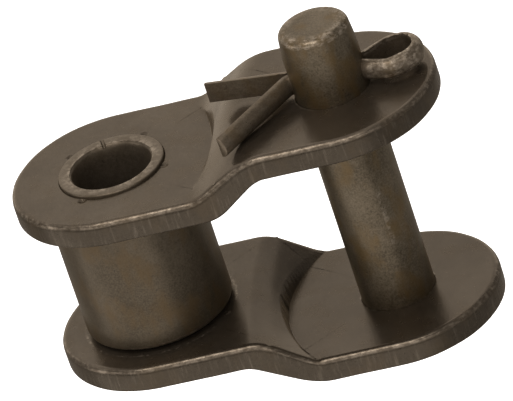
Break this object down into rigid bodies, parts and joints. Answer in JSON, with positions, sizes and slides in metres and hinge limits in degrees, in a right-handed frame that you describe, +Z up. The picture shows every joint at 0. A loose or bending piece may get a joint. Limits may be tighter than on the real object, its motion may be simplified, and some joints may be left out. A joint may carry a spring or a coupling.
{
  "type": "offset roller chain link",
  "caption": "Cranked half link of a roller chain: two offset plates, bush, roller, and a removable pin held by a spread split pin.",
  "frame": {"origin": "on the bush and roller axis, midway between the two plates", "axes": "+X from the bush axis to the pin axis, +Z up both axes towards the end with the split pin, +Y across the plates"},
  "size_m": [0.0299, 0.014, 0.024],
  "materials": {
    "plate": "dark oiled steel, satin, heat-treated",
    "bush": "dark oiled steel, satin, heat-treated",
    "roller": "dark oiled steel, satin, heat-treated",
    "pin": "dark oiled steel, satin, heat-treated",
    "split_pin": "dark oiled steel, satin, heat-treated"
  },
  "bodies": {
    "link": {"upper_plate": "plate", "lower_plate": "plate", "bush": "bush", "connecting_pin": "pin", "cotter_pin": "split_pin"},
    "roller": {"roller": "roller"}
  },
  "joints": [
    {"name": "roller_spin", "type": "hinge", "parent": "link", "child": "roller", "pos_m": [0, 0, 0], "axis": [0, 0, 1], "continuous": true}
  ]
}
